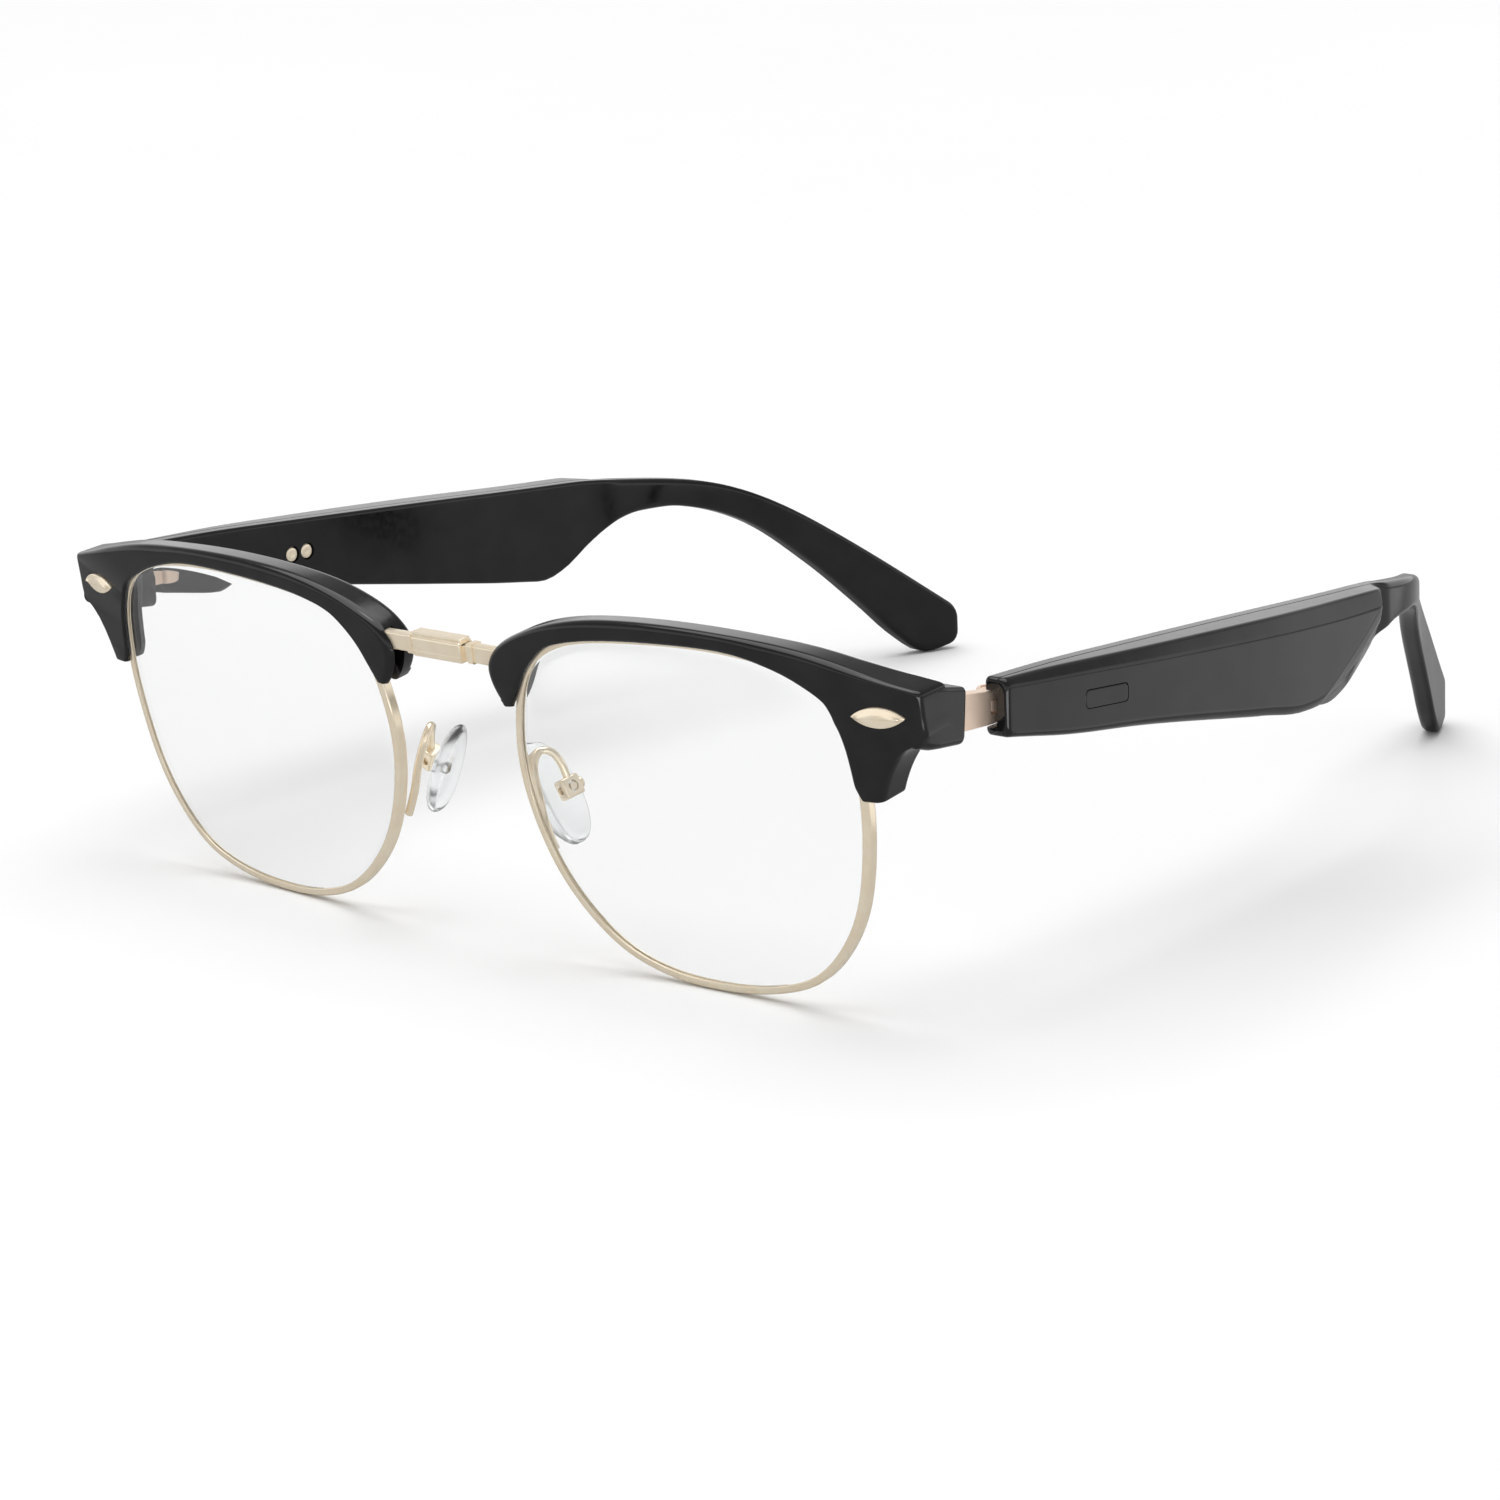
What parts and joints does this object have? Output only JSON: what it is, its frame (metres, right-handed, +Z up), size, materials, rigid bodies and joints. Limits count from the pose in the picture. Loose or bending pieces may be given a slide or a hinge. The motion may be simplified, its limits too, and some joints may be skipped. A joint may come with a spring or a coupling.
{
  "type": "smart glasses",
  "caption": "Browline smart audio glasses with clear lenses, gold rims and thick black folding temples that hold speakers, batteries and a charging contact.",
  "frame": {"origin": "middle of the footprint, on the table that the rims and the temple tips stand on", "axes": "+X to the wearer's left, +Y from the lenses back along the temples, +Z up"},
  "size_m": [0.1512, 0.1564, 0.0463],
  "materials": {
    "frame_black": "polished black acetate",
    "gold": "polished champagne gold plating",
    "lens_clear": "clear, uncoated look",
    "silicone": "clear soft pad",
    "steel": "fine brushed",
    "board_green": "solder mask",
    "chip_black": "moulded",
    "battery_foil": "foil pouch",
    "speaker_black": "moulded",
    "grille_black": "black coated mesh",
    "magnet_nickel": "nickel plated"
  },
  "bodies": {
    "front": {"bridge": "gold", "rim_left": "gold", "lens_left": "lens_clear", "brow_left": "frame_black", "rivet_left": "gold", "rim_lock_left": "gold", "rim_screw_left": "steel", "pad_arm_left": "gold", "pad_box_left": "gold", "pad_screw_left": "gold", "hinge_block_left": "gold", "hinge_screw_left": "gold", "rim_right": "gold", "lens_right": "lens_clear", "brow_right": "frame_black", "rivet_right": "gold", "rim_lock_right": "gold", "rim_screw_right": "steel", "pad_arm_right": "gold", "pad_box_right": "gold", "pad_screw_right": "gold", "hinge_block_right": "gold", "hinge_screw_right": "gold"},
    "nose_pad_left": {"nose_pad_left": "silicone"},
    "nose_pad_right": {"nose_pad_right": "silicone"},
    "temple_left": {"temple_shell_left": "frame_black", "temple_cover_left": "frame_black", "hinge_leaf_left": "gold", "circuit_board_left": "board_green", "sound_chip_left": "chip_black", "battery_left": "battery_foil", "speaker_left": "speaker_black", "speaker_grille_left": "grille_black", "microphone_left": "steel", "key_switch": "steel"},
    "temple_right": {"temple_shell_right": "frame_black", "temple_cover_right": "frame_black", "hinge_leaf_right": "gold", "circuit_board_right": "board_green", "sound_chip_right": "chip_black", "battery_right": "battery_foil", "speaker_right": "speaker_black", "speaker_grille_right": "grille_black", "microphone_right": "steel", "charge_pin_front": "gold", "charge_pin_rear": "gold", "charge_magnet": "magnet_nickel"},
    "function_key": {"function_key": "frame_black"}
  },
  "joints": [
    {"name": "temple_left_fold", "type": "hinge", "parent": "front", "child": "temple_left", "pos_m": [0.07, -0.05807, 0.0371], "axis": [0, 0, 1], "range_deg": [0, 82]},
    {"name": "temple_right_fold", "type": "hinge", "parent": "front", "child": "temple_right", "pos_m": [-0.07, -0.05807, 0.0371], "axis": [0, 0, -1], "range_deg": [0, 72]},
    {"name": "nose_pad_left_rock", "type": "hinge", "parent": "front", "child": "nose_pad_left", "pos_m": [0.01224, -0.06744, 0.02102], "axis": [0.0726, 0.9866, 0.1462], "range_deg": [-8, 8]},
    {"name": "nose_pad_right_rock", "type": "hinge", "parent": "front", "child": "nose_pad_right", "pos_m": [-0.01224, -0.06744, 0.02102], "axis": [-0.0726, 0.9866, 0.1462], "range_deg": [-8, 8]},
    {"name": "function_key_press", "type": "slide", "parent": "temple_left", "child": "function_key", "axis": [-1, 0, 0], "range_m": [0, 0.0003], "stiffness_N_per_m": 500, "springref_m": -0.0008}
  ]
}
